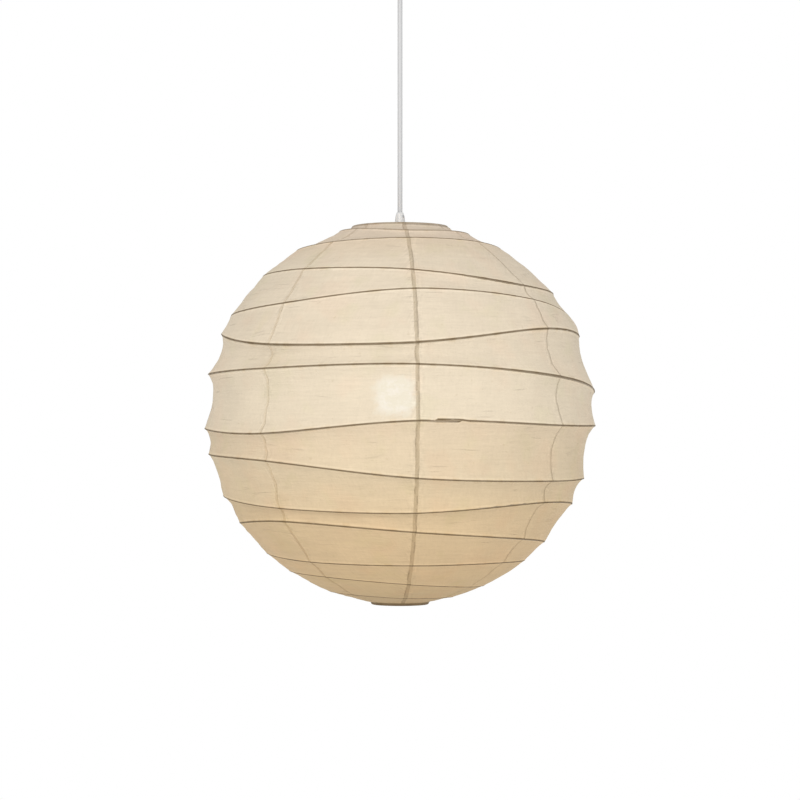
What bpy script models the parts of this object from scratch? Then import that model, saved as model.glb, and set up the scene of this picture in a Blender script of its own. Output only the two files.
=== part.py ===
"""Pendant paper lantern, built as its real pieces. Run it with blender --background --python part.py.

The frame is in metres with +Z up. The origin is on the ceiling, at the middle of the bracket's upper face,
and everything hangs below it. Heights of the lantern's own pieces are counted from the lantern's middle plane,
which is LANTERN_DROP under the ceiling.
"""

from math import asin, cos, pi, radians, sin, sqrt

import bmesh
import bpy
from mathutils import Matrix

# Driving dimensions, in metres
SHADE_RADIUS = 0.200  # 400 mm across, measured over the paper
SHADE_HALF_HEIGHT = 0.195  # the globe is a little flatter than a sphere
LANTERN_DROP = 0.474  # from the ceiling to the lantern's middle plane
TOP_RIM_RADIUS = 0.048
BOTTOM_RIM_RADIUS = 0.028
GORES = 8
SEAM_AZIMUTH = 4.0  # degrees from the front (-Y) to the first seam, towards +X
PAPER = 0.0004
GAP = 0.0003  # left wherever two solids meet

RIM_WIRE = 0.00125  # radii of the wires and the cord
RIB_WIRE = 0.0007
EXPANDER_WIRE = 0.00125
CORE_WIRE = 0.0008
CORD = 0.0025

# Smoothness
TURN_STEPS = 24
SHADE_STEPS = 32  # flats round the shade: rims, ribs and gores share them
GORE_ROWS = 20
STATIONS = 8  # blades of the mould, one under each seam

# The rib is wound on a mould with eight notched blades. Each row is one turn: the heights, above the middle
# plane, of its notches on the blades at the left, front left, front, front right, right, back right, back and
# back left. Its last notch leads on to the first of the next row. Wound by hand, it rises here and there.
LEFT_BLADE = SEAM_AZIMUTH - 90.0
NOTCHES = (
    (0.1855, 0.1848, 0.1810, 0.1825, 0.1820, 0.1780, 0.1740, 0.1690),
    (0.1655, 0.1690, 0.1715, 0.1705, 0.1660, 0.1600, 0.1530, 0.1450),
    (0.1395, 0.1400, 0.1365, 0.1245, 0.1205, 0.1165, 0.1110, 0.1030),
    (0.0990, 0.1050, 0.1170, 0.1100, 0.0940, 0.0880, 0.0870, 0.0850),
    (0.0800, 0.0645, 0.0645, 0.0810, 0.0765, 0.0660, 0.0550, 0.0450),
    (0.0390, 0.0410, 0.0435, 0.0340, 0.0190, 0.0050, -0.0040, -0.0110),
    (-0.0165, -0.0220, -0.0100, -0.0140, -0.0140, -0.0190, -0.0280, -0.0370),
    (-0.0425, -0.0485, -0.0645, -0.0685, -0.0670, -0.0690, -0.0750, -0.0800),
    (-0.0850, -0.0945, -0.0980, -0.0895, -0.0945, -0.1030, -0.1090, -0.1130),
    (-0.1125, -0.1075, -0.1165, -0.1255, -0.1330, -0.1370, -0.1400, -0.1420),
    (-0.1430, -0.1480, -0.1500, -0.1495, -0.1510, -0.1540, -0.1570, -0.1595),
    (-0.1610, -0.1635, -0.1700, -0.1750, -0.1760, -0.1770, -0.1785, -0.1800),
    (-0.1815, -0.1830, -0.1860, -0.1868, -0.1880, -0.1895, -0.1905, -0.1912),
)
RIB_START = (0.1885, 0.1876, 0.1866)  # notches at the back, above the first full turn
SPLICE_STEP = 201  # the step of the shade where the upper length of wire ends, beside the lower one
SPLICE_LAP = 0.5  # how much of a step they lie side by side

# Heights down the lampholder, above the middle plane
GRIP_TOP = 0.2052
GRIP_SCREW_TURN = -45.0  # degrees from the right
CAP_TOP = 0.1867
CAP_FOOT = 0.1316
PLATE_TOP = 0.1287
PLATE_THICK = 0.0015
SKIRT_FOOT = 0.0950
BULB_TIP = 0.1155
GLOBE_MIDDLE = 0.0255
GLOBE_RADIUS = 0.0325
GLOBE_TOP = 0.0557

# Ceiling fitting
BRACKET_LENGTH = 0.080
BRACKET_WIDTH = 0.016
BRACKET_THICK = 0.0015
EAR_DEPTH = 0.013
SIDE_SCREW_Z = -0.008
CANOPY_RADIUS = 0.045
CANOPY_DEPTH = 0.028
CANOPY_WALL = 0.0012
BUSH_FOOT = -0.0308
BOOT_PIVOT = -0.0353  # centre of the boot's round top, where the cord bends to front and back
CORD_PIVOT = -0.0436  # centre of the boot's round tip, where it bends to the sides
BOOT_TOP_RADIUS = 0.0042
BOOT_TIP_RADIUS = 0.0034

# name: base colour, roughness, metallic
FINISHES = {
    "paper": ((0.83, 0.72, 0.55), 0.85, 0.0),
    "rib_wire": ((0.30, 0.25, 0.19), 0.5, 0.6),
    "steel": ((0.70, 0.70, 0.70), 0.35, 1.0),
    "white_plastic": ((0.82, 0.82, 0.81), 0.4, 0.0),
    "white_cord": ((0.80, 0.80, 0.80), 0.45, 0.0),
    "opal": ((0.93, 0.92, 0.88), 0.3, 0.0),
    "brass": ((0.78, 0.60, 0.28), 0.3, 1.0),
    "nickel": ((0.72, 0.70, 0.66), 0.25, 1.0),
    "ceramic": ((0.86, 0.84, 0.80), 0.4, 0.0),
    "brown_core": ((0.25, 0.13, 0.07), 0.5, 0.0),
    "blue_core": ((0.05, 0.12, 0.45), 0.5, 0.0),
}


# Scene and object helpers


def clear_scene():
    for obj in list(bpy.data.objects):
        bpy.data.objects.remove(obj, do_unlink=True)


def new_collection(name):
    made = bpy.data.collections.new(name)
    bpy.context.scene.collection.children.link(made)
    return made


def make_material(name):
    colour, roughness, metallic = FINISHES[name]
    made = bpy.data.materials.new(name)
    made.use_nodes = True
    shader = made.node_tree.nodes["Principled BSDF"]
    shader.inputs["Base Color"].default_value = (*colour, 1.0)
    shader.inputs["Roughness"].default_value = roughness
    shader.inputs["Metallic"].default_value = metallic
    made.diffuse_color = (*colour, 1.0)
    return made


def pivot(name, x, y, z, parent=None):
    """An empty on a joint's axis; the pieces that move about it are its children."""
    empty = bpy.data.objects.new(name, None)
    parts.objects.link(empty)
    empty.parent = parent
    away = parent_place(parent)
    empty.location = (x - away[0], y - away[1], z - away[2])
    return empty


def parent_place(obj):
    place = [0.0, 0.0, 0.0]
    while obj is not None:
        place = [a + b for a, b in zip(place, obj.location)]
        obj = obj.parent
    return place


def put(obj, name, finish, parent, at=(0.0, 0.0, 0.0)):
    """Names a piece, gives it its finish and hangs it on its parent; at is its origin in the frame."""
    obj.name = name
    obj.data.name = name
    obj.data.materials.clear()
    obj.data.materials.append(materials[finish])
    away = parent_place(parent)
    obj.parent = parent
    obj.location = [a - b for a, b in zip(at, away)]
    move_to(obj, parts)
    return obj


def move_to(obj, collection):
    for old in list(obj.users_collection):
        old.objects.unlink(obj)
    collection.objects.link(obj)


def smooth(mesh, angle=35.0):
    mesh.shade_smooth()
    mesh.set_sharp_from_angle(angle=radians(angle))


# Shape helpers


def turned(profile, closed=True, steps=TURN_STEPS, angle=360.0, wall=0.0):
    """A profile of (radius, height) points turned about Z. It runs down the outside, and closed ones come
    back up the inside. An open one with a wall becomes a shell of that thickness, inside the profile."""
    mesh = bpy.data.meshes.new("turned")
    points = [(r, 0.0, z) for r, z in profile]
    edges = [(i, i + 1) for i in range(len(points) - 1)]
    if closed and profile[0][0] > 0:
        edges.append((len(points) - 1, 0))
    mesh.from_pydata(points, edges, [])
    obj = bpy.data.objects.new("turned", mesh)
    parts.objects.link(obj)
    screw = obj.modifiers.new("Screw", "SCREW")
    screw.axis = "Z"
    screw.angle = radians(angle)
    screw.steps = steps
    screw.render_steps = steps
    screw.use_smooth_shade = True
    screw.use_merge_vertices = angle == 360.0
    screw.merge_threshold = 0.00001
    if wall:
        solid = obj.modifiers.new("Wall", "SOLIDIFY")
        solid.thickness = wall
        solid.offset = -1.0
        solid.use_even_offset = True
    return obj


def wire(points, radius, bevel=2, closed=False):
    """A round wire through the points, with filled ends."""
    curve = bpy.data.curves.new("wire", "CURVE")
    curve.dimensions = "3D"
    curve.bevel_depth = radius
    curve.bevel_resolution = bevel
    curve.use_fill_caps = True
    spline = curve.splines.new("POLY")
    spline.points.add(len(points) - 1)
    for place, point in zip(points, spline.points):
        point.co = (*place, 1.0)
    spline.use_cyclic_u = closed
    obj = bpy.data.objects.new("wire", curve)
    parts.objects.link(obj)
    return obj


def ring(major, minor, height, steps=SHADE_STEPS):
    bpy.ops.mesh.primitive_torus_add(
        major_radius=major, minor_radius=minor, major_segments=steps, minor_segments=8, location=(0, 0, 0)
    )
    obj = bpy.context.object
    for vertex in obj.data.vertices:
        vertex.co.z += height
    obj.data.shade_smooth()
    return obj


def box(size, centre):
    bpy.ops.mesh.primitive_cube_add(size=1.0, location=(0, 0, 0))
    obj = bpy.context.object
    for vertex in obj.data.vertices:
        vertex.co = [c + v * s for v, s, c in zip(vertex.co, size, centre)]
    return obj


def rod(radius, start, end, axis="Z", steps=16):
    """A cylinder along an axis, from start to end along it, centred on the other two."""
    mesh = bpy.data.meshes.new("rod")
    shape = bmesh.new()
    bmesh.ops.create_cone(
        shape, cap_ends=True, segments=steps, radius1=radius, radius2=radius, depth=end - start
    )
    for vertex in shape.verts:
        x, y, z = vertex.co
        z += (start + end) / 2
        vertex.co = {"X": (z, x, y), "Y": (y, z, x), "Z": (x, y, z)}[axis]
    shape.to_mesh(mesh)
    shape.free()
    obj = bpy.data.objects.new("rod", mesh)
    parts.objects.link(obj)
    smooth(mesh)
    return obj


def cut(obj, cutter, operation="DIFFERENCE"):
    """Cuts or joins with a helper that isn't part of the object."""
    move_to(cutter, cutters)
    cutter.name = f"{obj.name}_{operation.lower()}_{len(obj.modifiers)}"
    cutter.hide_render = True
    cutter.display_type = "WIRE"
    modifier = obj.modifiers.new(cutter.name, "BOOLEAN")
    modifier.operation = operation
    modifier.object = cutter
    modifier.solver = "EXACT"


def eased(points, steps):
    """A smooth curve through the points: Catmull-Rom spans, with the ends held."""
    held = [points[0], *points, points[-1]]
    found = []
    for a, b, c, d in zip(held, held[1:], held[2:], held[3:]):
        for step in range(steps):
            t = step / steps
            found.append(tuple(catmull(p, q, r, s, t) for p, q, r, s in zip(a, b, c, d)))
    found.append(tuple(points[-1]))
    return found


def catmull(a, b, c, d, t):
    return b + 0.5 * t * (c - a + t * (2 * a - 5 * b + 4 * c - d + t * (3 * (b - c) + d - a)))


# The shade's form


def shade_radius(height):
    return SHADE_RADIUS * sqrt(max(0.0, 1.0 - (height / SHADE_HALF_HEIGHT) ** 2))


def shade_height(radius):
    return SHADE_HALF_HEIGHT * sqrt(1.0 - (radius / SHADE_RADIUS) ** 2)


def inside_paper(height, depth):
    """(radius, height) of the point that lies depth under the shade's surface at that height."""
    radius = shade_radius(height)
    out, rise = radius / SHADE_RADIUS**2, height / SHADE_HALF_HEIGHT**2
    length = sqrt(out * out + rise * rise)
    return radius - depth * out / length, height - depth * rise / length


def around(azimuth, radius, height):
    """A point at an azimuth in degrees, counted from the front (-Y) towards +X."""
    turn = radians(azimuth)
    return (radius * sin(turn), -radius * cos(turn), height)


def rib_height(turns):
    """The rib's height after so many turns from the left blade of the first full one."""
    at = turns * STATIONS + len(RIB_START)
    index = min(max(int(at), 0), len(ALL_NOTCHES) - 2)
    last = len(ALL_NOTCHES) - 1
    a, b, c, d = (ALL_NOTCHES[min(max(index + k, 0), last)] for k in (-1, 0, 1, 2))
    return catmull(a, b, c, d, at - index)


def rib_points(first, last, depth):
    """Points of the rib, under the paper: one for each of the shade's steps, counted from the left blade."""
    found = []
    for step in range(first, last + 1):
        turns = step / SHADE_STEPS
        radius, height = inside_paper(rib_height(turns), depth)
        found.append(around(LEFT_BLADE + 360.0 * turns, radius, height))
    return found


# Ceiling fitting, which stays still


def build_ceiling_bracket():
    bracket = box((BRACKET_LENGTH, BRACKET_WIDTH, BRACKET_THICK), (0, 0, -BRACKET_THICK / 2))
    for side in (-1, 1):
        middle = side * (BRACKET_LENGTH - BRACKET_THICK) / 2
        ear = box((BRACKET_THICK, BRACKET_WIDTH, EAR_DEPTH), (middle, 0, -EAR_DEPTH / 2))
        cut(bracket, ear, "UNION")
    for side in (-1, 1):
        slot = box((0.008, 0.0045, 0.006), (side * 0.024, 0, 0))
        cut(bracket, slot)
        hole = rod(0.0022, -0.003, 0.003, "X")
        hole.location = (side * BRACKET_LENGTH / 2, 0, SIDE_SCREW_Z)
        cut(bracket, hole)
    return put(bracket, "ceiling_bracket", "steel", ceiling)


def build_canopy():
    foot, shoulder = -CANOPY_DEPTH, -CANOPY_DEPTH + 0.009
    profile = [(CANOPY_RADIUS, -0.0005), (CANOPY_RADIUS, shoulder)]
    for step in range(1, 5):
        turn = pi / 2 * step / 4
        profile.append((CANOPY_RADIUS - 0.009 * (1 - cos(turn)), shoulder - 0.009 * sin(turn)))
    profile += [(0.0046, foot), (0.0046, foot + CANOPY_WALL)]
    for step in range(4, -1, -1):
        turn = pi / 2 * step / 4
        reach = 0.009 - CANOPY_WALL
        profile.append((CANOPY_RADIUS - 0.009 + reach * cos(turn), shoulder - reach * sin(turn)))
    profile.append((CANOPY_RADIUS - CANOPY_WALL, -0.0005))
    canopy = turned(profile, steps=32)
    for side in (-1, 1):
        hole = rod(0.0022, -0.004, 0.004, "X")
        hole.location = (side * CANOPY_RADIUS, 0, SIDE_SCREW_Z)
        cut(canopy, hole)
    return put(canopy, "canopy", "white_plastic", ceiling)


def build_side_screws():
    head_start, head_end = CANOPY_RADIUS + GAP, CANOPY_RADIUS + 0.0025
    for name, side in (("left", -1), ("right", 1)):
        profile = [(0.0, head_end), (0.0036, head_end - 0.0006), (0.0036, head_start)]
        profile += [(0.0019, head_start), (0.0019, 0.0355), (0.0, 0.0355)]
        screw = turned(profile, closed=False, steps=16)
        put(screw, f"canopy_screw_{name}", "nickel", ceiling, (0, 0, SIDE_SCREW_Z))
        screw.rotation_euler = (0, side * pi / 2, 0)


def build_terminal_block():
    top = -BRACKET_THICK - GAP
    block = box((0.020, 0.013, 0.0115), (0, 0, top - 0.00575))
    bevel = block.modifiers.new("Edges", "BEVEL")
    bevel.width = 0.0008
    bevel.segments = 1
    put(block, "terminal_block", "white_plastic", ceiling)
    for name, side in (("live", 1), ("neutral", -1)):
        screw = rod(0.0020, -0.0085, -0.0065 - GAP, "Y", steps=12)
        put(screw, f"terminal_screw_{name}", "brass", ceiling, (side * 0.005, 0, top - 0.0055))
    return top - 0.0115


def build_ceiling_cord(block_foot):
    sheath_top = -0.0190
    inside = wire([(0, 0, sheath_top), (0, 0, -0.0245), (0, 0, BUSH_FOOT)], CORD)
    put(inside, "cord_in_canopy", "white_cord", ceiling)
    for name, side, finish in (("live", 1, "brown_core"), ("neutral", -1, "blue_core")):
        route = [(side * 0.0012, 0, sheath_top + GAP), (side * 0.0016, 0, -0.0175)]
        route += [(side * 0.0040, 0, -0.0158), (side * 0.0050, 0, block_foot - GAP)]
        core = wire(eased(route, 3), CORE_WIRE, bevel=1)
        put(core, f"{name}_core_in_canopy", finish, ceiling)
    stop = turned([(0.0052, -0.0205), (0.0052, -0.0235), (0.0028, -0.0235), (0.0028, -0.0205)], steps=16)
    put(stop, "cord_stop", "white_plastic", ceiling)


def build_cord_bush():
    inner_face = -CANOPY_DEPTH + CANOPY_WALL
    profile = [(0.0075, inner_face + 0.0028), (0.0075, inner_face + GAP), (0.0043, inner_face + GAP)]
    profile += [(0.0043, -CANOPY_DEPTH - GAP), (0.0064, -CANOPY_DEPTH - GAP), (0.0058, BUSH_FOOT)]
    profile += [(0.0028, BUSH_FOOT), (0.0028, inner_face + 0.0028)]
    put(turned(profile), "cord_bush", "white_plastic", ceiling)


# The cord and its boot


def build_boot():
    profile = [(0.0, BOOT_PIVOT + BOOT_TOP_RADIUS)]
    for step in range(1, 5):
        turn = pi / 2 * step / 4
        profile.append((BOOT_TOP_RADIUS * sin(turn), BOOT_PIVOT + BOOT_TOP_RADIUS * cos(turn)))
    for step in range(4):
        turn = pi / 2 * step / 4
        profile.append((BOOT_TIP_RADIUS * cos(turn), CORD_PIVOT - BOOT_TIP_RADIUS * sin(turn)))
    profile.append((0.0, CORD_PIVOT - BOOT_TIP_RADIUS))
    profile = [(r, z - BOOT_PIVOT) for r, z in profile]
    put(turned(profile, closed=False, steps=16), "cord_boot", "white_plastic", boot, (0, 0, BOOT_PIVOT))


def build_cord():
    top, foot = CORD_PIVOT - BOOT_TIP_RADIUS - GAP, GRIP_TOP - LANTERN_DROP + GAP
    spans = round((top - foot) / (5 * CORD))
    points = [(0, 0, top + (foot - top) * k / spans - CORD_PIVOT) for k in range(spans + 1)]
    put(wire(points, CORD), "cord", "white_cord", hanging_cord, (0, 0, CORD_PIVOT))


# The lampholder


def on_lantern(obj, name, finish, parent=None):
    """A piece drawn about the lantern's middle, on the twist axis."""
    return put(obj, name, finish, parent or lantern, (0, 0, -LANTERN_DROP))


def build_cord_grip():
    profile = [(0.0034, GRIP_TOP), (0.0044, 0.2021), (0.0049, 0.1993), (0.0053, 0.1950), (0.0056, CAP_TOP + GAP)]
    profile += [(0.0028, CAP_TOP + GAP), (0.0028, GRIP_TOP)]
    on_lantern(turned(profile, steps=20), "cord_grip", "white_plastic")
    screw = rod(0.0013, 0.0054, 0.0064, "X", steps=12)
    screw.data.transform(Matrix.Rotation(radians(GRIP_SCREW_TURN), 4, "Z"))
    put(screw, "cord_grip_screw", "white_plastic", lantern, (0, 0, 0.2000 - LANTERN_DROP))


def build_holder_cap():
    outer = [(0.0060, CAP_TOP), (0.0070, 0.1800), (0.0098, 0.1700), (0.0142, 0.1600)]
    outer += [(0.0186, 0.1500), (0.0213, 0.1420), (0.0225, 0.1345), (0.0225, CAP_FOOT)]
    inner = [(0.0206, CAP_FOOT), (0.0206, 0.1345), (0.0195, 0.1420), (0.0168, 0.1495)]
    inner += [(0.0124, 0.1595), (0.0080, 0.1695), (0.0052, 0.1785), (0.0031, 0.1845), (0.0031, CAP_TOP)]
    on_lantern(turned(outer + inner), "holder_cap", "white_plastic")


def build_holder_skirt():
    outer = [(0.0202, 0.1345), (0.0202, CAP_FOOT - GAP), (0.0225, CAP_FOOT - GAP), (0.0225, PLATE_TOP + GAP)]
    outer += [(0.0198, PLATE_TOP + GAP), (0.0198, SKIRT_FOOT)]
    inner = [(0.0172, SKIRT_FOOT), (0.0172, 0.1345)]
    on_lantern(turned(outer + inner), "holder_skirt", "white_plastic")


def build_holder_inside():
    core_foot, core_top = 0.1180, 0.1400
    core = turned([(0, core_top), (0.0165, core_top), (0.0165, core_foot), (0, core_foot)], closed=False)
    on_lantern(core, "holder_insulator", "ceramic")
    shell = [(0.0150, core_foot - GAP), (0.0150, 0.0985), (0.0142, 0.0985), (0.0142, core_foot - GAP)]
    on_lantern(turned(shell), "screw_shell", "brass")
    on_lantern(rod(0.0045, BULB_TIP + GAP, core_foot - GAP), "centre_contact", "brass")
    tail_foot = 0.1700
    on_lantern(wire([(0, 0, GRIP_TOP), (0, 0, 0.185), (0, 0, tail_foot)], CORD), "cord_in_holder", "white_cord")
    for name, side, finish in (("live", 1, "brown_core"), ("neutral", -1, "blue_core")):
        screw = rod(0.0025, core_top + GAP, core_top + 0.0022, steps=12)
        put(screw, f"holder_screw_{name}", "brass", lantern, (side * 0.0085, 0, -LANTERN_DROP))
        route = [(side * 0.0012, 0, tail_foot - GAP), (side * 0.0018, 0, 0.1640), (side * 0.0065, 0, 0.1540)]
        route += [(side * 0.0085, 0, 0.1470), (side * 0.0085, 0, core_top + 0.0022 + GAP)]
        on_lantern(wire(eased(route, 3), CORE_WIRE, bevel=1), f"{name}_core_in_holder", finish)


def build_retaining_ring():
    top = PLATE_TOP - PLATE_THICK - GAP
    foot = top - 0.009
    profile = [(0.0245, top), (0.0255, top - 0.001), (0.0255, foot + 0.001), (0.0245, foot)]
    profile += [(0.0202, foot), (0.0202, top)]
    on_lantern(turned(profile), "retaining_ring", "white_plastic", ring_slide)


# The bulb


def build_bulb():
    cap = [(0, 0.1137), (0.0060, 0.1137), (0.0122, 0.1105), (0.0130, 0.1090), (0.0130, 0.0925), (0, 0.0925)]
    on_lantern(turned(cap, closed=False), "bulb_screw_cap", "nickel", bulb)
    on_lantern(rod(0.0045, 0.1137 + GAP, BULB_TIP, steps=12), "bulb_contact", "brass", bulb)
    collar = [(0, 0.0922), (0.0140, 0.0922), (0.0160, 0.0850), (0.0245, 0.0670), (0.0288, GLOBE_TOP + GAP)]
    collar.append((0, GLOBE_TOP + GAP))
    on_lantern(turned(collar, closed=False), "bulb_collar", "white_plastic", bulb)
    board = turned([(0, 0.0552), (0.0235, 0.0552), (0.0235, 0.0538), (0, 0.0538)], closed=False, steps=16)
    on_lantern(board, "led_board", "white_plastic", bulb)
    dome = [(0.0290, GLOBE_TOP), (0.0306, 0.0470), (0.0320, 0.0370)]
    for step in range(8):
        turn = pi / 2 * step / 8
        dome.append((GLOBE_RADIUS * cos(turn), GLOBE_MIDDLE - GLOBE_RADIUS * sin(turn)))
    dome.append((0, GLOBE_MIDDLE - GLOBE_RADIUS))
    on_lantern(turned(dome, closed=False, wall=0.0012), "bulb_globe", "opal", bulb)


# The expander: a plate that the holder clamps, arms under the top rim and legs that press the bottom rim down

ARM_ROUTE = ((0.0262, 0.1303), (0.0350, 0.1312), (0.0425, 0.1400), (0.0440, 0.1550), (0.0440, 0.1760))
ARM_TIP = ((0.0450, 0.1838), (0.0472, 0.1862), (0.0502, 0.1862))
LEG_TOP = (0.0285, PLATE_TOP - PLATE_THICK - GAP - EXPANDER_WIRE)
LEG_ROUTE = (
    (0.0345, 0.1190),
    (0.0435, 0.1075),
    (0.0460, 0.0950),
    (0.0460, -0.0200),
    (0.0420, -0.0350),
    (0.0270, -0.0680),
    (0.0240, -0.0840),
    (0.0240, -0.1840),
)
LEG_FOOT = ((0.0250, -0.1893), (0.0275, -0.1902), (0.0312, -0.1902))


def build_expander():
    foot = PLATE_TOP - PLATE_THICK
    plate = turned([(0.0300, PLATE_TOP), (0.0300, foot), (0.0202, foot), (0.0202, PLATE_TOP)])
    on_lantern(plate, "expander_plate", "steel")
    for name, side in (("front", -1), ("back", 1)):
        arm = [(0, side * r, z) for r, z in ARM_ROUTE + ARM_TIP]
        on_lantern(wire(eased(arm, 3), EXPANDER_WIRE, bevel=1), f"expander_arm_{name}", "steel")
    for name, side in (("left", -1), ("right", 1)):
        leg = [(side * (r - LEG_TOP[0]), 0, z - LEG_TOP[1]) for r, z in (LEG_TOP, *LEG_ROUTE, *LEG_FOOT)]
        at = (side * LEG_TOP[0], 0, LEG_TOP[1] - LANTERN_DROP)
        put(wire(eased(leg, 3), EXPANDER_WIRE, bevel=1), f"expander_leg_{name}", "steel", legs[name], at)


# The paper shade


def build_rims():
    top = ring(TOP_RIM_RADIUS, RIM_WIRE, shade_height(TOP_RIM_RADIUS))
    on_lantern(top, "top_rim", "steel")
    bottom = ring(BOTTOM_RIM_RADIUS, RIM_WIRE, -shade_height(BOTTOM_RIM_RADIUS))
    on_lantern(bottom, "bottom_rim", "steel", rim_slide)


def build_ribs():
    """The rib is two lengths of wire, laid side by side where they are spliced."""
    under_paper = PAPER + RIB_WIRE + 0.0007
    per_blade = SHADE_STEPS // STATIONS
    upper = rib_points(-len(RIB_START) * per_blade, SPLICE_STEP, under_paper)
    on_lantern(wire(upper, RIB_WIRE, bevel=0), "rib_wire_upper", "rib_wire")
    beside = 2 * RIB_WIRE + GAP
    lower = rib_points(SPLICE_STEP, (len(NOTCHES) * STATIONS - 1) * per_blade, under_paper)
    before, end = upper[-2:]
    start = [b + (a - b) * SPLICE_LAP for a, b in zip(before, end)]
    lap = [(x, y, z - beside) for x, y, z in (start, end)]
    on_lantern(wire(lap + lower[1:], RIB_WIRE, bevel=0), "rib_wire_lower", "rib_wire")


def build_gores():
    """Each gore runs from rim to rim between two seams."""
    clear = RIM_WIRE + 0.0005
    high = shade_height(TOP_RIM_RADIUS + clear)
    low = -shade_height(BOTTOM_RIM_RADIUS + clear)
    profile = []
    for row in range(GORE_ROWS + 1):
        angle = elevation(high) + (elevation(low) - elevation(high)) * row / GORE_ROWS
        profile.append((SHADE_RADIUS * cos(angle), SHADE_HALF_HEIGHT * sin(angle)))
    width = 360.0 / GORES
    seam_gap = 0.4  # degrees
    for index in range(GORES):
        gore = turned(
            profile, closed=False, steps=SHADE_STEPS // GORES, angle=width - seam_gap, wall=PAPER
        )
        on_lantern(gore, f"gore_{index + 1}", "paper")
        azimuth = SEAM_AZIMUTH + index * width + seam_gap / 2
        gore.rotation_euler = (0, 0, radians(azimuth - 90.0))


def elevation(height):
    """The ellipse's parameter at a height."""
    return asin(height / SHADE_HALF_HEIGHT)


ALL_NOTCHES = [*RIB_START, *(notch for turn in NOTCHES for notch in turn)]

clear_scene()
parts = new_collection("paper_lantern")
cutters = new_collection("cutters")
cutters.hide_render = True
materials = {name: make_material(name) for name in FINISHES}

ceiling = pivot("ceiling", 0, 0, 0)
boot = pivot("boot_pivot", 0, 0, BOOT_PIVOT, ceiling)
hanging_cord = pivot("cord_pivot", 0, 0, CORD_PIVOT, boot)
lantern = pivot("lantern_twist", 0, 0, GRIP_TOP - LANTERN_DROP, hanging_cord)
ring_slide = pivot("ring_slide", 0, 0, PLATE_TOP - LANTERN_DROP, lantern)
bulb = pivot("bulb_slide", 0, 0, BULB_TIP - LANTERN_DROP, lantern)
rim_slide = pivot("rim_slide", 0, 0, -shade_height(BOTTOM_RIM_RADIUS) - LANTERN_DROP, lantern)
legs = {
    name: pivot(f"leg_{name}_pivot", side * LEG_TOP[0], 0, LEG_TOP[1] - LANTERN_DROP, lantern)
    for name, side in (("left", -1), ("right", 1))
}

build_ceiling_bracket()
build_canopy()
build_side_screws()
build_ceiling_cord(build_terminal_block())
build_cord_bush()
build_boot()
build_cord()
build_cord_grip()
build_holder_cap()
build_holder_skirt()
build_holder_inside()
build_retaining_ring()
build_bulb()
build_expander()
build_rims()
build_ribs()
build_gores()
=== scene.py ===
from math import asin, atan2, cos, degrees, exp, hypot, pi, radians, sin, sqrt

import bpy
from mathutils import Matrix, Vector, noise


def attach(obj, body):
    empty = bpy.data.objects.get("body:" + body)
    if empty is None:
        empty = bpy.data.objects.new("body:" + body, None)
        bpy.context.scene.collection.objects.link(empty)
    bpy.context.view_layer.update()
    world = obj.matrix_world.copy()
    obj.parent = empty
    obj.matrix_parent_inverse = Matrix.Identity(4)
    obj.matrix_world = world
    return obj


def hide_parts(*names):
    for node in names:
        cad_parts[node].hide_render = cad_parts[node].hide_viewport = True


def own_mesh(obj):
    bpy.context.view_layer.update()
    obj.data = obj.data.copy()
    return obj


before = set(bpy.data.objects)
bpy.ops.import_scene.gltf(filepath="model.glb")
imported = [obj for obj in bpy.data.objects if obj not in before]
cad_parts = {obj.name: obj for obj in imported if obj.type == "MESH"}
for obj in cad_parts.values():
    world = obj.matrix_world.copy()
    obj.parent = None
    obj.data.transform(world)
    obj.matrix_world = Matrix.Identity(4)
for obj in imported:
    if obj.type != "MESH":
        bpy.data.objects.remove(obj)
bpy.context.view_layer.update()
print("frame loaded")


# camera, stage and lights

view = {
    "distance": 2.35,  # metres in front of the cord
    "eye": -0.505,
    "aim": -0.461,
    "lens": 103.4,
    "sensor": 36.0,
}


def makeCamera():
    lens = bpy.data.cameras.new("camera")
    lens.lens = view["lens"]
    lens.sensor_width = view["sensor"]
    camera = added("camera", lens)
    camera.location = (0, -view["distance"], view["eye"])
    rise = view["aim"] - view["eye"]
    camera.rotation_euler = (pi / 2 + atan2(rise, view["distance"]), 0, 0)
    bpy.context.scene.camera = camera


studio = {
    "ambient": 1.0,
    "floorHeight": -3.3,
    "floorRadius": 9.0,
    "key": {"place": (-1.1, -3.0, 0.7), "size": 2.2, "power": 61.0, "colour": (1.0, 0.985, 0.96)},
    "fill": {"place": (1.5, -2.9, -0.1), "size": 2.2, "power": 33.0, "colour": (0.98, 0.99, 1.0)},
}


def makeStudio():
    world = bpy.data.worlds.new("studio")
    bpy.context.scene.world = world
    world.use_nodes = True
    sky = world.node_tree.nodes["Background"]
    sky.inputs["Color"].default_value = (1.0, 1.0, 1.0, 1.0)
    sky.inputs["Strength"].default_value = studio["ambient"]
    for name in ("key", "fill"):
        setting = studio[name]
        lamp = bpy.data.lights.new(name, "AREA")
        lamp.size = setting["size"]
        lamp.energy = setting["power"]
        lamp.color = setting["colour"]
        light = added(name, lamp)
        light.location = setting["place"]
        middle = Vector((0, 0, shade["middle"]))
        light.rotation_euler = (middle - light.location).to_track_quat("-Z", "Y").to_euler()
    bpy.ops.mesh.primitive_circle_add(
        vertices=96, radius=studio["floorRadius"], fill_type="NGON", location=(0, 0, studio["floorHeight"])
    )
    floor = bpy.context.object
    floor.name = "floor"
    floor.data.materials.append(floorFinish())
    bpy.context.scene.view_settings.view_transform = "Standard"


# shader nodes, written as sums

def arithmetic(operation):
    # an operator's two forms, with the other value behind and in front
    def forward(self, other):
        return self.finish.maths(operation, self, other)

    def reflected(self, other):
        return self.finish.maths(operation, other, self)

    return forward, reflected


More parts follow.
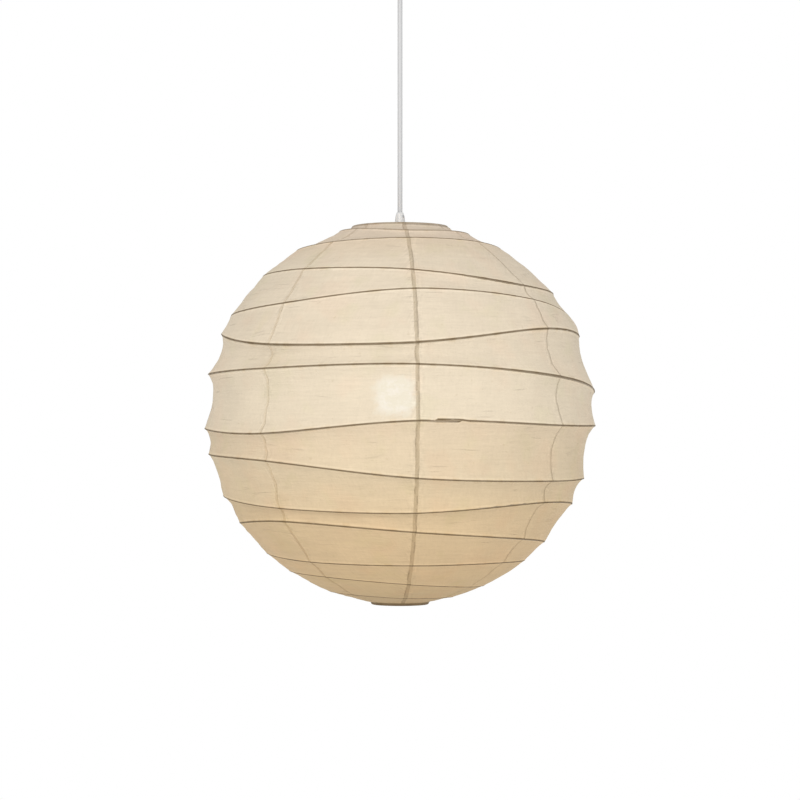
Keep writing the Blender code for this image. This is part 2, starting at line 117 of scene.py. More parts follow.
class Value:
    # a socket whose arithmetic adds Math nodes to its finish

    def __init__(self, finish, socket):
        self.finish = finish
        self.socket = socket

    __add__, __radd__ = arithmetic("ADD")
    __sub__, __rsub__ = arithmetic("SUBTRACT")
    __mul__, __rmul__ = arithmetic("MULTIPLY")
    __truediv__, __rtruediv__ = arithmetic("DIVIDE")
    __pow__, __rpow__ = arithmetic("POWER")


class Finish:
    # a material with one Principled shader

    def __init__(self, name, **sockets):
        self.material = bpy.data.materials.new(name)
        self.material.use_nodes = True
        self.nodes = self.material.node_tree.nodes
        self.links = self.material.node_tree.links
        self.shader = self.nodes["Principled BSDF"]
        for socket, value in sockets.items():
            self.feed(socket.replace("_", " "), value)

    def feed(self, socket, value):
        self.join(self.shader.inputs[socket], value)

    def join(self, socket, value):
        if isinstance(value, Value):
            self.links.new(value.socket, socket)
        elif isinstance(value, tuple) and len(value) == 3 and socket.type == "RGBA":
            socket.default_value = (*value, 1.0)
        else:
            socket.default_value = value

    def add(self, kind, settings=None, inputs=None, output=0):
        node = self.nodes.new("ShaderNode" + kind)
        for setting, value in (settings or {}).items():
            if setting == "stops":
                ramp = node.color_ramp.elements
                while len(ramp) < len(value):
                    ramp.new(1.0)
                for stop, (place, colour) in zip(ramp, value):
                    stop.position = place
                    stop.color = (*colour, 1.0)
            else:
                setattr(node, setting, value)
        for socket, value in (inputs or {}).items():
            self.join(node.inputs[socket], value)
        return Value(self, node.outputs[output])

    def maths(self, operation, *values):
        return self.add("Math", {"operation": operation}, dict(enumerate(values)))

    def place(self):
        return self.add("TexCoord", output="Object")

    def attribute(self, name):
        return self.add("Attribute", {"attribute_name": name}, output="Fac")

    def stretched(self, vector, scale):
        return self.add("Mapping", None, {"Vector": vector, "Scale": scale})

    def noise(self, vector, scale, detail=2.0, roughness=0.5):
        sockets = {"Vector": vector, "Scale": scale, "Detail": detail, "Roughness": roughness}
        return self.add("TexNoise", None, sockets)

    def strands(self, sheet, across, along, detail=2.0, roughness=0.5):
        # noise drawn out over a sheet
        return self.noise(self.stretched(sheet, (across, along, 1.0)), 1.0, detail, roughness)

    def between(self, value, low, high, out=(0.0, 1.0)):
        # smooth step of value from low to high
        return self.add(
            "MapRange",
            {"interpolation_type": "SMOOTHSTEP"},
            {"Value": value, "From Min": low, "From Max": high, "To Min": out[0], "To Max": out[1]},
        )

    def fade(self, value, low, high, start=1.0):
        # smooth step down to nothing
        return self.between(value, low, high, (start, 0.0))

    def mix(self, share, first, second, blend="MIX"):
        # colours
        return self.add("Mix", {"data_type": "RGBA", "blend_type": blend}, {0: share, 6: first, 7: second}, 2)

    def grey(self, value):
        return self.add("CombineColor", None, {0: value, 1: value, 2: value})

    def dyed(self, share, colour, tint):
        # a colour multiplied by another
        return self.mix(share, colour, self.mix(1.0, colour, tint, "MULTIPLY"))

    def tinted(self, share, colour, value):
        # a colour made lighter or darker by a number
        return self.dyed(share, colour, self.grey(value))

    def bump(self, height, strength, distance=0.001):
        return self.add("Bump", None, {"Height": height, "Strength": strength, "Distance": distance})


def floorFinish():
    finish = Finish("floor", Base_Color=(0.8, 0.8, 0.8), Roughness=0.9)
    finish.feed("Emission Color", (1.0, 1.0, 1.0))
    finish.feed("Emission Strength", 0.35)
    return finish.material


# the shade's form, as the solids have it

shade = {
    "middle": -0.474,  # its middle plane
    "radius": 0.200,
    "halfHeight": 0.195,
    "topRim": 0.048,
    "bottomRim": 0.028,
    "rimWire": 0.00125,
    "gores": 8,
    "firstSeam": 4.0,  # degrees from the front towards the right
    "collapse": 0.135,  # how far the bottom rim lifts
}

# heights above the middle plane of the rib's notches on the mould's eight blades, one row for each turn
notches = (
    (0.1855, 0.1848, 0.1810, 0.1825, 0.1820, 0.1780, 0.1740, 0.1690),
    (0.1655, 0.1690, 0.1715, 0.1705, 0.1660, 0.1600, 0.1530, 0.1450),
    (0.1395, 0.1400, 0.1365, 0.1245, 0.1205, 0.1165, 0.1110, 0.1030),
    (0.0990, 0.1050, 0.1170, 0.1100, 0.0940, 0.0880, 0.0870, 0.0850),
    (0.0800, 0.0645, 0.0645, 0.0810, 0.0765, 0.0660, 0.0550, 0.0450),
    (0.0390, 0.0410, 0.0435, 0.0340, 0.0190, 0.0050, -0.0040, -0.0110),
    (-0.0165, -0.0220, -0.0100, -0.0140, -0.0140, -0.0190, -0.0280, -0.0370),
    (-0.0425, -0.0485, -0.0645, -0.0685, -0.0670, -0.0690, -0.0750, -0.0800),
    (-0.0850, -0.0945, -0.0980, -0.0895, -0.0945, -0.1030, -0.1090, -0.1130),
    (-0.1125, -0.1075, -0.1165, -0.1255, -0.1330, -0.1370, -0.1400, -0.1420),
    (-0.1430, -0.1480, -0.1500, -0.1495, -0.1510, -0.1540, -0.1570, -0.1595),
    (-0.1610, -0.1635, -0.1700, -0.1750, -0.1760, -0.1770, -0.1785, -0.1800),
    (-0.1815, -0.1830, -0.1860, -0.1868, -0.1880, -0.1895, -0.1905, -0.1912),
)
aboveFirst = (0.1892, 0.1891, 0.1890, 0.1889, 0.1887, 0.1885, 0.1876, 0.1866)
belowLast = (-0.1918, -0.1921, -0.1923, -0.1925, -0.1926, -0.1927, -0.1928, -0.1929, -0.1930, -0.1930)
notchList = [*aboveFirst, *(height for turn in notches for height in turn), *belowLast]
stretchCount = len(notches) + 2  # of paper between the ribs, from rim to rim
ribStart = -0.375  # in turns from the left blade of the first full one
ribEnd = 12.875


def shadeRadius(height):
    return shade["radius"] * sqrt(max(0.0, 1.0 - (height / shade["halfHeight"]) ** 2))


def shadeHeight(radius):
    return shade["halfHeight"] * sqrt(1.0 - (radius / shade["radius"]) ** 2)


def underSurface(height, depth):
    # radius and height of the point that lies depth under the surface
    radius = shadeRadius(height)
    out, rise = radius / shade["radius"] ** 2, height / shade["halfHeight"] ** 2
    length = hypot(out, rise)
    return radius - depth * out / length, height - depth * rise / length


def around(azimuth, radius, height):
    turn = radians(azimuth)
    return Vector((radius * sin(turn), -radius * cos(turn), height + shade["middle"]))


def smoothAt(points, index, t):
    # a smooth line through points, at share t of the way from one point to the next
    a, b, c, d = (points[min(max(index + k, 0), len(points) - 1)] for k in (-1, 0, 1, 2))
    return b + 0.5 * t * (c - a + t * (2 * a - 5 * b + 4 * c - d + t * (3 * (b - c) + d - a)))


def ribHeight(turns):
    at = turns * len(notches[0]) + len(aboveFirst)
    index = min(max(int(at), 0), len(notchList) - 2)
    return smoothAt(notchList, index, at - index)


def ease(x):
    x = min(max(x, 0.0), 1.0)
    return x * x * (3 - 2 * x)


# finishes

paper = {
    # colour of the lit paper at heights from the middle, darker towards the top and bottom; the darkening at
    # the bottom is painted shade
    "shadedTones": (
        (-0.195, (0.305, 0.215, 0.112)),
        (-0.172, (0.400, 0.290, 0.160)),
        (-0.150, (0.430, 0.312, 0.180)),
        (-0.100, (0.450, 0.340, 0.208)),
        (-0.055, (0.465, 0.380, 0.262)),
        (-0.025, (0.470, 0.378, 0.265)),
        (0.000, (0.485, 0.412, 0.310)),
        (0.110, (0.490, 0.420, 0.325)),
        (0.150, (0.480, 0.410, 0.315)),
        (0.160, (0.475, 0.390, 0.290)),
        (0.182, (0.465, 0.385, 0.300)),
        (0.195, (0.385, 0.330, 0.265)),
    ),
    "fibreAndCreaseShade": 0.13,
    "mottle": 0.16,
    # clouds of another tint: scale, where each begins and is full, and what it multiplies by
    "clouds": (
        (24.0, 0.50, 0.66, (1.012, 0.975, 0.965)),
        (31.0, 0.53, 0.68, (0.975, 0.99, 0.95)),
    ),
    "speck": (0.30, 0.22, 0.12),
    "lapTint": (0.77, 0.75, 0.71),
    "lapEdgeTint": (0.84, 0.81, 0.76),
    "pasteAndShadowTint": (0.86, 0.81, 0.73),
    "ribLine": (0.105, 0.070, 0.033),
    "ribWidth": (0.00052, 0.00122),
    "pasteAndShadowReach": 0.0042,
    # the edge below is a painted highlight beside each rib
    "edge": 0.10,  # how much lighter the paper is beside a rib
    "topRim": 0.50,  # how dark each rim shows through its hem
    "bottomRim": 1.0,
    # painted light: the lamp's glow through the paper, a spot in front and a ring all round at its height
    "spot": {
        "centre": (-0.0048, 0.0135),
        "reach": 0.0195,
        "tone": (0.535, 0.500, 0.440),
        "patch": (0.505, 0.465, 0.380),
    },
    "ring": {"height": 0.020, "reach": 0.075, "tone": (0.60, 0.54, 0.43)},
}


def paperFinish():
    finish = Finish("paper", Roughness=0.82, Specular_IOR_Level=0.25)
    sheet = finish.add("UVMap", {"uv_map": "sheet"})
    place = finish.place()
    across, depth, rise = (finish.add("SeparateXYZ", None, {0: place}, axis) for axis in "XYZ")
    rise = rise - shade["middle"]
    low, high = paper["shadedTones"][0][0], paper["shadedTones"][-1][0]
    stops = [((height - low) / (high - low), tone) for height, tone in paper["shadedTones"]]
    # painted shade: the tone is looked up at a height that steps at each rib
    share = (finish.attribute("toneHeight") - low) / (high - low)
    tone = finish.add("ValToRGB", {"stops": stops}, {0: share})
    # long fibres along the sheet, clouds of pulp and small creases
    long = finish.strands(sheet, 22.0, 380.0, 4.0, 0.62) - 0.5
    short = finish.strands(sheet, 130.0, 800.0, 3.0, 0.6) - 0.5
    stray = finish.strands(sheet, 420.0, 120.0, 2.0, 0.55) - 0.5
    cloud = finish.noise(place, 26.0, 4.0, 0.6) - 0.5
    streak = finish.between(finish.strands(sheet, 34.0, 210.0, 3.0, 0.6), 0.60, 0.70)
    fold = finish.strands(sheet, 9.0, 120.0, 1.0, 0.4) - 0.5
    sparse = finish.between(finish.strands(sheet, 22.0, 70.0), 0.56, 0.70)
    crease = finish.fade(finish.maths("ABSOLUTE", fold), 0.0, 0.030) * sparse
    # the creases also darken the colour: painted shade in the creases
    fibreAndCreaseShade = long * 1.4 + short * 0.9 + stray * 0.8 - streak * 0.25 - crease * 0.45
    value = 1.0 + fibreAndCreaseShade * paper["fibreAndCreaseShade"] + cloud * paper["mottle"]
    tone = finish.tinted(1.0, tone, value)
    for scale, begins, full, tint in paper["clouds"]:
        patch = finish.between(finish.noise(place, scale, 3.0), begins, full)
        tone = finish.dyed(patch * 0.8, tone, tint)
    speck = finish.between(finish.noise(sheet, 230.0, 1.0), 0.70, 0.77)
    tone = finish.mix(speck * 0.18, tone, paper["speck"])
    # where the lamp shows through: a ring all round, and a spot in front
    spot, ring = paper["spot"], paper["ring"]
    ragged = finish.noise(place, 120.0, 3.0, 0.7) - 0.5
    aside = finish.maths("ABSOLUTE", across - spot["centre"][0])
    above = finish.maths("ABSOLUTE", rise - spot["centre"][1])
    far = (aside ** 4 + above ** 4) ** 0.25 / spot["reach"]
    inFront = finish.fade(depth, -0.02, 0.02)
    show = finish.fade(far + ragged * 0.95, 0.70, 1.18) * inFront
    mottled = finish.mix(finish.between(ragged, -0.08, 0.16), spot["patch"], spot["tone"])
    tone = finish.mix(show * 0.92, tone, mottled)
    offRing = finish.maths("ABSOLUTE", rise - ring["height"])
    tone = finish.mix(finish.fade(offRing, 0.0, ring["reach"]) * 0.10, tone, ring["tone"])
    # two layers where one gore laps the next
    lapGap = finish.attribute("lapGap")
    lap = finish.between(lapGap + short * 0.0012, -0.0004, 0.0004)
    tone = finish.dyed(lap * finish.attribute("lapTone"), tone, paper["lapTint"])
    lapEdge = finish.fade(finish.maths("ABSOLUTE", lapGap), 0.0001, 0.0008)
    tone = finish.dyed(lapEdge * (0.55 + short * 1.6), tone, paper["lapEdgeTint"])
    # painted light and shade of paste wrinkles beside a lap: lighter and darker specks
    lapWrinkleShading = finish.between(lapGap, -0.008, -0.001)
    tone = finish.tinted(lapWrinkleShading, tone, 1.0 + (stray + short) * 0.28)
    # the rib wire behind the paper, the paste along it with a painted soft shadow, and a painted highlight
    # beside it
    ribGap = finish.attribute("ribGap")
    wander = finish.strands(sheet, 70.0, 20.0, 3.0)
    # painted highlight: a lighter band of paper beside each rib
    ribHighlight = finish.between(ribGap, 0.0009, 0.0016) * finish.fade(ribGap, 0.0020, 0.0036)
    tone = finish.tinted(ribHighlight * wander, tone, 1.0 + 2 * paper["edge"])
    # paste along the rib, together with a painted soft shadow that darkens the paper near it
    pasteShadowMask = finish.fade(ribGap, 0.0012, paper["pasteAndShadowReach"], 0.5)
    tone = finish.dyed(pasteShadowMask * finish.between(wander, 0.50, 0.62), tone, paper["pasteAndShadowTint"])
    line = finish.fade(ribGap, *paper["ribWidth"]) * (0.66 + wander * 0.45)
    line = finish.maths("MINIMUM", line * finish.attribute("ribTone"), 1.0)
    tone = finish.mix(line, tone, paper["ribLine"])
    finish.feed("Base Color", tone)
    pulp = finish.strands(sheet, 60.0, 150.0, 3.0)
    relief = fibreAndCreaseShade * 0.7 - crease * 0.6 + cloud * 1.5 + pulp * 1.2
    finish.feed("Normal", finish.bump(relief, 0.6, 0.0008))
    finish.feed("Roughness", 0.82 + short * 0.15)
    return finish.material


def plasticFinish(name, colour, roughness, coat=0.0, grain=0.04):
    finish = Finish(name)
    place = finish.place()
    cloud = finish.noise(place, 55.0, 3.0)
    fine = finish.noise(place, 900.0, 2.0)
    finish.feed("Base Color", finish.mix(1.0, colour, finish.grey(1.0 + (cloud - 0.5) * grain), "MULTIPLY"))
    finish.feed("Roughness", roughness + (cloud - 0.5) * 0.12 + (fine - 0.5) * 0.06)
    finish.feed("Coat Weight", coat)
    finish.feed("Normal", finish.bump(fine, 0.15, 0.0002))
    return finish.material


def metalFinish(name, colour, roughness):
    finish = Finish(name, Metallic=1.0)
    place = finish.place()
    brushed = finish.noise(finish.stretched(place, (300.0, 300.0, 40.0)), 1.0, 3.0, 0.6)
    dull = finish.between(finish.noise(place, 70.0, 3.0), 0.45, 0.7)
    finish.feed("Base Color", finish.mix(dull * 0.25, colour, tuple(0.55 * part for part in colour)))
    finish.feed("Roughness", roughness + (brushed - 0.5) * 0.25 + dull * 0.12)
    finish.feed("Normal", finish.bump(brushed, 0.2, 0.0002))
    return finish.material


def opalFinish():
    finish = Finish("opal", Roughness=0.35)
    place = finish.place()
    cloud = finish.noise(place, 60.0, 2.0)
    finish.feed("Base Color", finish.mix(cloud, (0.90, 0.89, 0.86), (0.94, 0.93, 0.90)))
    finish.feed("Emission Color", finish.mix(cloud, (1.0, 0.90, 0.76), (1.0, 0.93, 0.82)))
    finish.feed("Emission Strength", 26.0)
    return finish.material


finishes = {
    "paper": paperFinish(),
    "steel": metalFinish("steel", (0.62, 0.61, 0.59), 0.34),
    "ribWire": metalFinish("rib_wire", (0.30, 0.24, 0.17), 0.42),
    "brass": metalFinish("brass", (0.72, 0.53, 0.24), 0.28),
    "nickel": metalFinish("nickel", (0.72, 0.70, 0.66), 0.22),
    "whitePlastic": plasticFinish("white_plastic", (0.48, 0.48, 0.475), 0.36, 0.15),
    "cord": plasticFinish("cord_sheath", (0.38, 0.38, 0.383), 0.42),
    "ceramic": plasticFinish("ceramic", (0.84, 0.82, 0.77), 0.3, 0.4, 0.07),
    "darkScrew": metalFinish("dark_screw", (0.42, 0.42, 0.43), 0.5),
    "brownCore": plasticFinish("brown_core", (0.22, 0.11, 0.06), 0.45),
    "blueCore": plasticFinish("blue_core", (0.05, 0.12, 0.42), 0.45),
    "opal": opalFinish(),
}
print("finishes made")


def added(name, data):
    # a new object, the only one selected
    piece = bpy.data.objects.new(name, data)
    bpy.context.scene.collection.objects.link(piece)
    bpy.ops.object.select_all(action="DESELECT")
    piece.select_set(True)
    bpy.context.view_layer.objects.active = piece
    return piece


def finished(piece, name, body, finish, node):
    # names a piece, gives it its finish and body, and lets it stand for a CAD node
    piece.name = name
    piece.data.name = name
    piece.data.materials.clear()
    piece.data.materials.append(finishes[finish])
    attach(piece, body)
    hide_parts(node)


makeCamera()
makeStudio()
print("camera and studio ready")


# the cord

cordMade = {
    "diameter": 0.005,
    "top": -0.0464,  # just inside the boot's tip
    "foot": -0.2686,
    "spans": 18,
    "sides": 24,
}


def makeCord():
    spans, reach = cordMade["spans"], cordMade["top"] - cordMade["foot"]
    line = bpy.data.curves.new("cord_line", "CURVE")
    line.dimensions = "3D"
    line.bevel_depth = cordMade["diameter"] / 2
    line.bevel_resolution = cordMade["sides"] // 4
    line.use_fill_caps = True
    spline = line.splines.new("POLY")
    spline.points.add(spans)
    for step, point in enumerate(spline.points):
        point.co = (0, 0, cordMade["top"] - reach * step / spans, 1.0)
    cord = added("hanging_cord", line)
    finished(cord, "pendant_cord", "hanging_cord", "cord", "cord")


makeCord()
print("cord made")


# the paper, one sheet for each gore

gore = {
    "columns": 56,
    "paper": 0.00016,
    "flat": (0.163, 0.566),  # the blank that a gore is cut from
    "area": 0.065,
    "hem": {"top": 0.0015, "bottom": 0.00178},  # radius of the paper round each rim wire
    "slack": {"top": 1.0, "bottom": 1.35},  # the lower hem is taller, as it flattens when the shade folds
    "gap": 0.0004,  # between a rim's hem and the nearest rib
    "ridge": 0.00085,  # spacing of the rows beside a rib
    "beside": (0.0, 1.0, 2.0, 3.2),  # where those rows are, in spacings
    "open": 8,  # rows in the rest of a stretch
    "crest": (0.00030, 0.0009),  # how far the wire lifts the paper, and how fast it falls off
    # creases: depth, how close they are round the shade and up it, and a seed
    "creases": ((0.0008, 34.0, 40.0, 9.0), (0.0005, 13.0, 120.0, 19.0)),
    "pucker": (0.00040, 0.004),  # depth, and its distance from the rib
    "lapLift": 0.00013,
    "bowReach": 0.050,  # gap in which a seam bows fully
}

ribs = {
    "wire": 0.0007,
    "depth": 0.0010,  # of its middle under the paper's outer face
    "perTurn": 64,
    "splice": 6.273,  # turns from the left blade where one length of wire ends on the next
    "lap": 0.0095,  # half the lap, in turns
    "aside": 0.00095,  # how far each wire is pushed up or down there
}

# how far the paper hangs in below the round form between one rib and the next, in millimetres, from the
# gap above the first turn to the one below the last
sagLeft = (3.6, 3.4, 1.2, 1.5, 0.8, 7.0, 8.6, 4.6, 4.5, 3.2, 1.3, 0.6, 0.5, 0.5, 0.5)
sagRight = (2.4, 2.2, 1.2, 2.2, -1.4, 6.0, 4.4, 7.8, 3.8, 3.8, 1.3, 0.2, 0.5, 0.5, 0.5)

# each seam's lap width, how dark it is, its place beside its meridian, how far it bows there between ribs,
# and how much its edge wanders
seamKeys = ("lap", "shade", "place", "bow", "wander")
seamRows = (
    (0.0034, 1.0, 0.0032, 0.0, 0.0005),
    (0.0022, 0.5, 0.0130, -0.0060, 0.0012),
    (0.0030, 0.8, -0.0020, 0.0020, 0.0012),
    (0.0026, 0.6, 0.0030, -0.0030, 0.0016),
    (0.0034, 0.9, 0.0010, 0.0010, 0.0010),
    (0.0024, 0.6, -0.0040, 0.0030, 0.0016),
    (0.0030, 0.8, 0.0020, -0.0020, 0.0012),
    (0.0024, 0.55, -0.0046, 0.0022, 0.0014),
)
seams = [dict(zip(seamKeys, row)) for row in seamRows]


def seamPlace(number, height, bow):
    # how far a seam lies beside its meridian, in metres
    which = number % shade["gores"]
    seam = seams[which]
    slow = noise.noise(Vector((which * 7.3, height * 22.0, 1.0)))
    quick = noise.noise(Vector((which * 3.1, height * 120.0, 5.0)))
    taper = shadeRadius(height) / shade["radius"]
    return (seam["place"] + seam["bow"] * bow + seam["wander"] * (1.2 * slow + 1.6 * quick)) * taper


def arcBetween(high, low):
    # length of the meridian between two heights
    first, second = asin(high / shade["halfHeight"]), asin(low / shade["halfHeight"])
    return (first - second) * 0.5 * (shade["radius"] + shade["halfHeight"])


def goreRows():
    # the rows of a gore: hem, then one stretch of paper between each pair of ribs, then hem. Each has its
    # part, its stretch, and its angle round the rim, its distance from a rib in spacings, or its share
    rows = [("top", 0, angle) for angle in (230, 200, 170, 140, 110, 85, 60)]
    for stretch in range(stretchCount):
        rows += [("above", stretch, spacings) for spacings in gore["beside"]]
        rows += [("open", stretch, step / gore["open"]) for step in range(1, gore["open"])]
        rows += [("below", stretch, spacings) for spacings in gore["beside"][:0:-1]]
    rows.append(("below", stretchCount - 1, 0.0))
    rows += [("bottom", 0, angle) for angle in (-60, -85, -110, -140, -170, -200)]
    return rows


def ribLines(turns):
    # heights of the edges and ribs from top to bottom, so many turns after the left blade
    gap = gore["gap"]
    top = shadeHeight(shade["topRim"] + gore["hem"]["top"] + gap)
    bottom = -shadeHeight(shade["bottomRim"] + gore["hem"]["bottom"] + gap)
    lines = [top]
    for turn in range(-1, len(notches)):
        lines.append(min(ribHeight(turn + turns), lines[-1] - gap))
    lines.append(bottom)
    for index in range(len(lines) - 2, 0, -1):
        lines[index] = max(lines[index], lines[index + 1] + gap)
    return lines


def sagAt(turn, azimuth):
    # depth of the paper midway between two ribs, at a number of turns down from the first
    right = 0.5 + 0.5 * sin(radians(azimuth))
    depths = []
    for table, start in ((sagLeft, -0.5), (sagRight, 0.0)):
        at = min(max(turn - start, 0.0), len(table) - 1.001)
        index = int(at)
        depths.append(table[index] + (table[index + 1] - table[index]) * (at - index))
    return 0.001 * (depths[0] * (1 - right) + depths[1] * right)


def hemPoint(part, angle):
    # one point of the paper that wraps a rim's wire
    rim, hem = shade[part + "Rim"], gore["hem"][part]
    centre = shadeHeight(rim) if part == "top" else -shadeHeight(rim)
    return {
        "radius": rim + hem * cos(radians(angle)),
        "height": centre + hem * sin(radians(angle)) * gore["slack"][part],
        "ribGap": 0.0,
        "ribTone": paper[part + "Rim"],
        "bow": 0.0,
        "toneHeight": centre,
    }


def paperPoint(azimuth, turns, lines, row):
    # one point of the shade: its radius and height, and what the paper's finish needs to know there
    part, stretch, amount = row
    if part in gore["hem"]:
        return hemPoint(part, amount)
    high, low = lines[stretch], lines[stretch + 1]
    length = arcBetween(high, low)
    step = min(gore["ridge"], 0.06 * length)
    beside = step * gore["beside"][-1]
    if part == "above":
        along = step * amount
    elif part == "below":
        along = length - step * amount
    else:
        along = beside + (length - 2 * beside) * amount
    share = along / length
    away = min(along, length - along)
    turn = stretch - 1.5 + turns
    hang = share ** 0.8
    depth = sagAt(turn, azimuth) * 4 * hang * (1 - hang)
    depth *= 1.0 + 0.3 * noise.noise(Vector((azimuth * 0.045, turn * 3.7, 2.0)))
    lift, reach = gore["crest"]
    depth += lift * (1 - exp(-away / reach))
    height = high + (low - high) * share
    # slack, puckers along the ribs and fine creases
    swell = radians(azimuth) * shadeRadius(height)
    fade = ease(away / 0.012)
    for size, beat, rise, seed in gore["creases"]:
        depth += size * fade * noise.noise(Vector((swell * beat, height * rise, seed)))
    pucker = noise.noise(Vector((swell * 170.0, height * 24.0, 4.0 + stretch)))
    size, reach = gore["pucker"]
    depth += size * pucker * (away / reach) * exp(1 - away / reach)
    radius, height = underSurface(height, depth)
    first, last = stretch == 0, stretch == stretchCount - 1
    if first or last:
        away = length - along if first else along
    nearest = turn - 0.5 if (share < 0.5 and not first) or last else turn + 0.5
    tone = ribTone(nearest)
    if last and along == length:
        away, tone = 0.0, paper["bottomRim"]
    if first and along == 0.0:
        away, tone = 0.0, paper["topRim"]
    beyond = nearest - ribs["splice"]
    if abs(beyond) < 3 * ribs["lap"] and away < 0.01:
        # two wires lie side by side, the one that ends here below the one that starts
        above = away if share > 0.5 else -away
        aside = ribs["aside"] * spliceShare(nearest)
        gaps = [abs(above + aside)] if beyond < ribs["lap"] else []
        gaps += [abs(above - aside)] if beyond > -ribs["lap"] else []
        away = min(gaps)
    return {
        "radius": radius,
        "height": height,
        "ribGap": away,
        "ribTone": tone,
        "bow": 4 * share * (1 - share) * min(1.0, length / gore["bowReach"]),
        # painted shade: the height is drawn halfway to the middle of its stretch, so the tone steps at each
        # rib where a panel turns up or down
        "toneHeight": 0.5 * height + 0.5 * (high + low) / 2,
    }


def spliceShare(turns):
    # 1 in the middle of the splice, 0 where each wire is back on the rib's line
    return ease(1.8 - abs(turns - ribs["splice"]) / ribs["lap"])


def ribTone(turn):
    # the wire shows less near the top, and is not there above its start or below its end
    if turn < ribStart or turn > ribEnd:
        return 0.0
    return 0.5 + 0.5 * ease((turn + 0.2) / 1.8)


def makeGore(number):
    rows = goreRows()
    columns = gore["columns"]
    width = 360.0 / shade["gores"]
    start = shade["firstSeam"] + number * width
    left, right = (seams[(number + side) % shade["gores"]] for side in (0, 1))
    turns = [(number * width + width * column / columns + 90.0) / 360.0 for column in range(columns + 1)]
    lines = [ribLines(turn) for turn in turns]
    bpy.ops.mesh.primitive_grid_add(x_subdivisions=columns, y_subdivisions=len(rows) - 1, size=1.0)
    sheet = bpy.context.object
    mesh = sheet.data
    marks = {"ribGap": [], "ribTone": [], "toneHeight": [], "lapGap": [], "lapTone": []}
    flat = []
    for vertex in mesh.vertices:
        column = round((vertex.co.x + 0.5) * columns)
        row = rows[round((0.5 - vertex.co.y) * (len(rows) - 1))]
        share = column / columns
        point = paperPoint(start + width * share, turns[column], lines[column], row)
        radius, height = point["radius"], point["height"]
        # the sheet reaches half a lap past each seam
        whole = radians(width) * radius
        reach = whole * share - left["lap"] / 2 * (1 - share) + right["lap"] / 2 * share
        blend = ease(reach / whole)
        aside = seamPlace(number, height, point["bow"]) * (1 - blend)
        aside += seamPlace(number + 1, height, point["bow"]) * blend
        angle = start + degrees((reach + aside) / radius)
        # its right-hand edge lies over the next gore and its left-hand edge under the last
        over = ease((reach - whole + 1.1 * right["lap"]) / (0.6 * right["lap"]))
        under = 1 - ease((reach + 0.5 * left["lap"]) / (1.2 * left["lap"]))
        vertex.co = around(angle, radius + gore["lapLift"] * (over - under), height)
        near = left if reach < whole / 2 else right
        for name in ("ribGap", "ribTone", "toneHeight"):
            marks[name].append(point[name])
        marks["lapGap"].append(near["lap"] / 2 - min(abs(reach), abs(whole - reach)))
        marks["lapTone"].append(near["shade"])
        flat.append((reach + number * 0.3, height))
    for name, values in marks.items():
        mesh.attributes.new(name, "FLOAT", "POINT").data.foreach_set("value", values)
    sheetMap = mesh.uv_layers[0]
    sheetMap.name = "sheet"
    for loop in mesh.loops:
        sheetMap.uv[loop.index].vector = flat[loop.vertex_index]
    bpy.ops.object.shade_smooth()
    wall = sheet.modifiers.new("paper", "SOLIDIFY")
    wall.thickness = gore["paper"]
    wall.offset = -1.0
    bpy.ops.object.modifier_apply(modifier=wall.name)
    return sheet


def collapse(piece):
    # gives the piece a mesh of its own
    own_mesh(piece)


def makePaper():
    for number in range(shade["gores"]):
        sheet = makeGore(number)
        finished(sheet, f"paper_gore_{number + 1}", "lantern", "paper", f"gore_{number + 1}")
        collapse(sheet)


makePaper()
print("paper made")


# shapes turned on the lamp's axis, wires and threads

def smoothed(angle):
    # leaves edit mode with the faces outward and all but the sharp edges smooth
    bpy.ops.mesh.normals_make_consistent(inside=False)
    bpy.ops.object.mode_set(mode="OBJECT")
    bpy.ops.object.shade_smooth_by_angle(angle=radians(angle))
    return bpy.context.object


def turned(profile, sides, closed=True, crease=35.0):
    # a ring at the first point, extruded from point to point; closed walls end where they start
    radius, height = profile[0]
    bpy.ops.mesh.primitive_circle_add(vertices=sides, radius=radius)
    bpy.ops.object.mode_set(mode="EDIT")
    bpy.ops.mesh.select_mode(type="VERT")
    bpy.ops.mesh.select_all(action="SELECT")
    bpy.ops.transform.translate(value=(0, 0, height))
    if not closed:
        bpy.ops.mesh.edge_face_add()
    for nextRadius, nextHeight in profile[1:] + (profile[:1] if closed else []):
        bpy.ops.mesh.extrude_region_move(TRANSFORM_OT_translate={"value": (0, 0, nextHeight - height)})
        bpy.ops.transform.resize(value=(nextRadius / radius, nextRadius / radius, 1))
        radius, height = nextRadius, nextHeight
    if not closed:
        bpy.ops.mesh.edge_face_add()
    bpy.ops.mesh.select_all(action="SELECT")
    if closed:
        bpy.ops.mesh.remove_doubles(threshold=0.00001)
    return smoothed(crease)


def arc(centre, radius, angles):
    # points round a centre, at angles up from the horizontal
    turns = [radians(angle) for angle in angles]
    return [(centre[0] + radius * cos(turn), centre[1] + radius * sin(turn)) for turn in turns]


def softened(piece, width):
    # rounds the sharp edges of the piece just made
    bevel = piece.modifiers.new("edges", "BEVEL")
    bevel.width = width
    bevel.segments = 2
    bevel.limit_method = "ANGLE"
    bevel.angle_limit = radians(40.0)
    bpy.ops.object.modifier_apply(modifier=bevel.name)
    bpy.ops.object.shade_smooth_by_angle(angle=radians(40.0))


def shaped(points, steps):
    # a smooth line through points, with so many steps between each two
    corners = [Vector(point) for point in points]
    line = []
    for index in range(len(corners) - 1):
        line += [smoothAt(corners, index, step / steps) for step in range(steps)]
    return [*line, corners[-1]]


